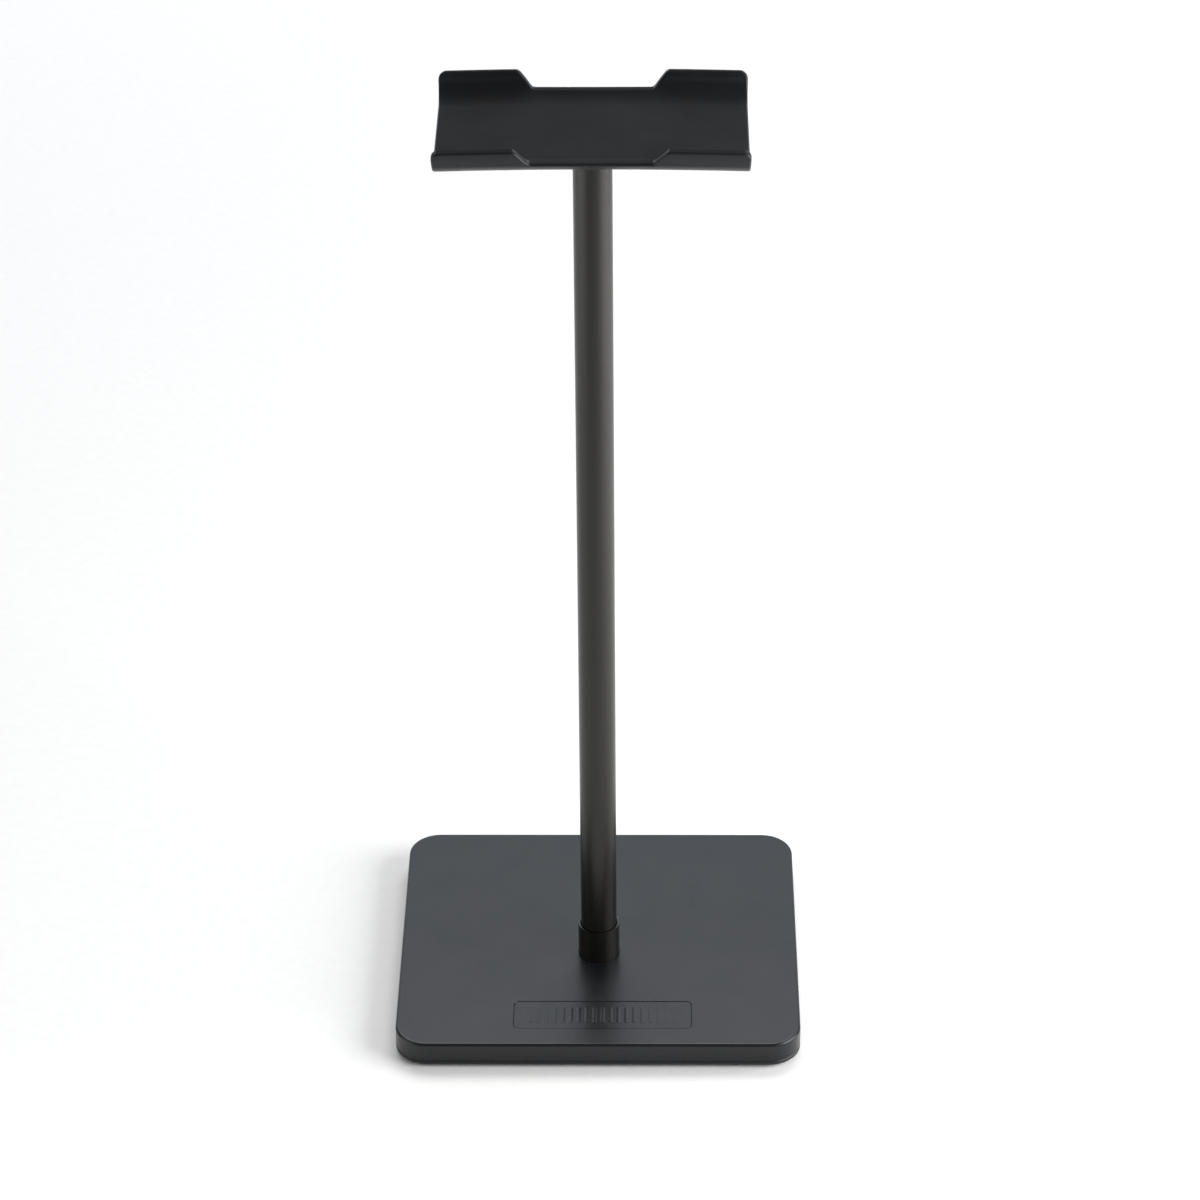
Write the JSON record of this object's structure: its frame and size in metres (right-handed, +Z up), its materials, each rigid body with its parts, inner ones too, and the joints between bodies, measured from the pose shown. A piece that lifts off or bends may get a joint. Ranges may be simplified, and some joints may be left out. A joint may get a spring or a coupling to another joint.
{
  "type": "headphone stand",
  "caption": "Desk headphone stand: a flat weighted base carries a thin round post with a notched, flared saddle on top that holds the headband.",
  "frame": {"origin": "on the table, below the centre of the base", "axes": "+Z up along the post, +X along the saddle, -Y towards the front edge with the badge"},
  "size_m": [0.1064, 0.0932, 0.2576],
  "materials": {
    "cover_plastic": "fine-textured black ABS, satin",
    "badge_plastic": "black, half gloss, moulded ribs",
    "plate_plastic": "black ABS, fine spark texture",
    "saddle_plastic": "fine-textured black ABS, satin",
    "foot_rubber": "matt black rubber",
    "foam": "open-cell dark grey foam",
    "ballast_steel": "zinc-plated sheet steel",
    "post_metal": "black anodised, satin drawn tube",
    "plug_steel": "turned, zinc-plated",
    "screw_steel": "black oxide",
    "insert_brass": "turned brass"
  },
  "bodies": {
    "root": {"base_cover": "cover_plastic", "badge_inlay": "badge_plastic", "ballast_plate": "ballast_steel", "foam_strip_left": "foam", "foam_strip_right": "foam", "bottom_plate": "plate_plastic", "bottom_plate_screws": "screw_steel", "foot_front_left": "foot_rubber", "foot_front_right": "foot_rubber", "foot_rear_left": "foot_rubber", "foot_rear_right": "foot_rubber", "post_screw": "screw_steel", "post_tube": "post_metal", "post_collar": "post_metal", "lower_plug": "plug_steel", "upper_plug": "plug_steel", "saddle_stud": "screw_steel", "saddle_insert": "insert_brass", "saddle": "saddle_plastic"}
  },
  "joints": []
}
